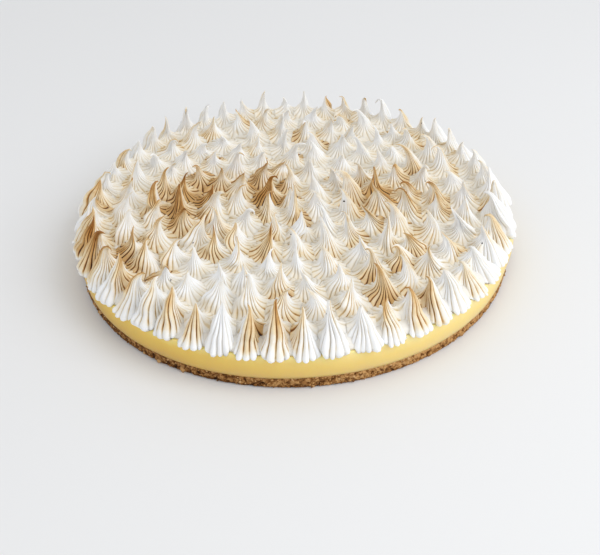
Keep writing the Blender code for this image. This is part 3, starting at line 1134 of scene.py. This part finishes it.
in_front = peak_place[:, 1] < 0
pieces = {
    "meringue_rim_front": np.flatnonzero(on_rim & in_front),
    "meringue_rim_back": np.flatnonzero(on_rim & ~in_front),
    "meringue_second_ring": np.flatnonzero(peak_ring == 1),
    "meringue_third_ring": np.flatnonzero(peak_ring == 2),
    "meringue_fourth_ring": np.flatnonzero(peak_ring == 3),
    "meringue_centre": np.flatnonzero(peak_ring > 3),
}
meringue = [meringue_piece(name, chosen) for name, chosen in pieces.items()]

# %% [markdown]
# Between the feet of three peaks a little of the first smear of meringue shows, so an uneven bed
# lies under them all. It rounds off inside the rim, where it fills the clefts between the feet.

# %% Meringue bed
BED_COLUMNS = 120
BED_RINGS = 40
BED_RADIUS = LEMON_RADIUS - 2.0 * MM
BED_ROUND = 12.0 * MM  # how far in from its edge the bed's top is rounded off
BED_THICKNESS = 6.2 * MM


def make_bed():
    """A low disc with a softly lumpy top, whose edge is a quarter of an ellipse."""
    angle = 2 * math.pi * np.arange(BED_COLUMNS) / BED_COLUMNS
    edge = 1 - BED_ROUND / BED_RADIUS * (1 - np.cos(np.linspace(0, math.pi / 2, 8)[:-1]))
    out = np.concatenate([[0.6], edge, np.linspace(edge[-1], 0.02, BED_RINGS)[1:]])[:, None] * BED_RADIUS
    x, y = out * np.cos(angle), out * np.sin(angle)
    lumps = 0.5 + 0.25 * np.sin(x / (3.1 * MM)) + 0.25 * np.sin(y / (2.7 * MM) + 1.0)
    inwards = np.clip(1 - (BED_RADIUS - out) / BED_ROUND, 0, 1)
    top = MERINGUE_BOTTOM + BED_THICKNESS * (0.8 + 0.2 * lumps) * np.sqrt(1 - inwards**2)
    top[0] = MERINGUE_BOTTOM
    return turned_piece("meringue_bed", angle, out + 0 * angle, top)


meringue.append(make_bed())

# %% [markdown]
# A torch also leaves flecks of char: specks of sugar that burnt black, each about half a millimetre
# to a millimetre across. They are the same little stones as the nuts, set down on points of the
# peaks' surface that are drawn at random.

# %% Char flecks
CHAR_FLECKS = 34
fleck_rng = np.random.default_rng(33)
fleck_peak = fleck_rng.integers(0, PEAKS, CHAR_FLECKS)
fleck_row = fleck_rng.integers(ROWS // 3, ROWS - 3, CHAR_FLECKS)
fleck_column = fleck_rng.integers(0, COLUMNS, CHAR_FLECKS)
fleck_size = fleck_rng.uniform(0.6, 1.2, CHAR_FLECKS) * MM
flecks = stones("meringue_char_flecks", peaks_xyz[fleck_peak, fleck_row, fleck_column], fleck_size, fleck_rng)
char = Finish("char", {"Specular IOR Level": 0.4})
char_grain = char.noise(char.places(), 0.3 * MM)
char.drive("Base Color", char.blend(char_grain, (0.012, 0.008, 0.006), (0.05, 0.025, 0.014)))
char.drive("Roughness", 0.5 + char_grain * 0.3)
flecks.data.materials.append(char.material)
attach(flecks, "root")
print(f"{CHAR_FLECKS} flecks of char")

# %% [markdown]
# ## The meringue's finish
#
# Whipped egg white lets a little light into it, which softens its shade, so the shader has some
# subsurface scattering. The toast number picks a colour from white over cream, tan and brown to
# black. Where the meringue is toasted, the grooves between the lobes are browner than the lobes, and
# thin streaks follow them; this is partly toast and partly painted shade in the grooves. The valleys
# are painted cream, partly as light toast and partly as painted shade, and valleys and grooves are
# darkened further with painted shade.


# %% Meringue finish
def meringue_finish():
    """White to charred by the toast mark and streaked along the lobes; grooves and valleys are darkened partly by
    toast and partly by painted shade.
    """
    constants = {
        "Subsurface Weight": 0.25,
        "Subsurface Radius": (1.0, 0.92, 0.82),
        "Subsurface Scale": 2.0 * MM,
        "Specular IOR Level": 0.3,
    }
    finish = Finish("torched_meringue", constants)
    places = finish.places()
    lobes = finish.node("ShaderNodeUVMap", {"uv_map": "lobes"})
    lobe, share_up = finish.part(lobes, "X"), finish.part(lobes, "Y")
    across = lobe.maths("FRACT")
    from_groove = across.maths("MINIMUM", 1.0 - across)
    # The groove mask darkens the grooves, partly as toast and partly as painted shade.
    groove = 1.0 - finish.between(from_groove, 0.02, 0.19)
    streak_inputs = {"X": lobe * 4.0, "Y": share_up * 3.0, "Z": finish.mark("own") * 40.0}
    streak_place = finish.node("ShaderNodeCombineXYZ", None, streak_inputs)
    streaks = finish.noise(streak_place, 1.0, 3.0)
    patches = finish.noise(places, 5 * MM, 2.0)
    heat = finish.mark("toast") + patches * 0.5 + streaks * 0.3 - 0.41
    scorch = finish.between(heat, 1.0, 1.5)
    upper = finish.between(share_up, 0.55, 0.9)
    stripes = 0.27 + groove * 0.72 * (1.0 - upper * 0.7) + upper * 0.12
    hollow = finish.mark("hollow")
    # Even on white meringue the grooves are a little browner: painted shade.
    tone = finish.between(heat, 0.0, 1.20) * stripes + groove * 0.05 + scorch * 0.22 * (1.0 - hollow)
    # The cream in the valleys is partly light toast and partly painted shade.
    tone = tone + hollow * (0.03 + patches * 0.10)
    stops = [
        (0.0, (0.935, 0.940, 0.945)),
        (0.07, (0.915, 0.875, 0.797)),
        (0.18, (0.860, 0.715, 0.475)),
        (0.34, (0.645, 0.395, 0.150)),
        (0.55, (0.37, 0.147, 0.020)),
        (0.80, (0.13, 0.040, 0.008)),
        (1.0, (0.02, 0.012, 0.010)),
    ]
    # Painted shade: valleys and grooves are darkened by a grey-beige multiply.
    painted_shade = hollow * 0.34 + groove * 0.30
    finish.drive("Base Color", finish.blend(painted_shade, finish.ramp(tone, stops), (0.72, 0.70, 0.66), "MULTIPLY"))
    foam = finish.noise(places, 0.7 * MM, 3.0, 0.6)
    finish.drive("Roughness", 0.62 - finish.between(tone, 0.1, 0.6) * 0.15 + foam * 0.1)
    finish.relief(foam, 0.10 * MM)
    return finish.material


torched = meringue_finish()
for piece in meringue:
    piece.data.materials.append(torched)
    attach(piece, "root")
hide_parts("meringue_topping")
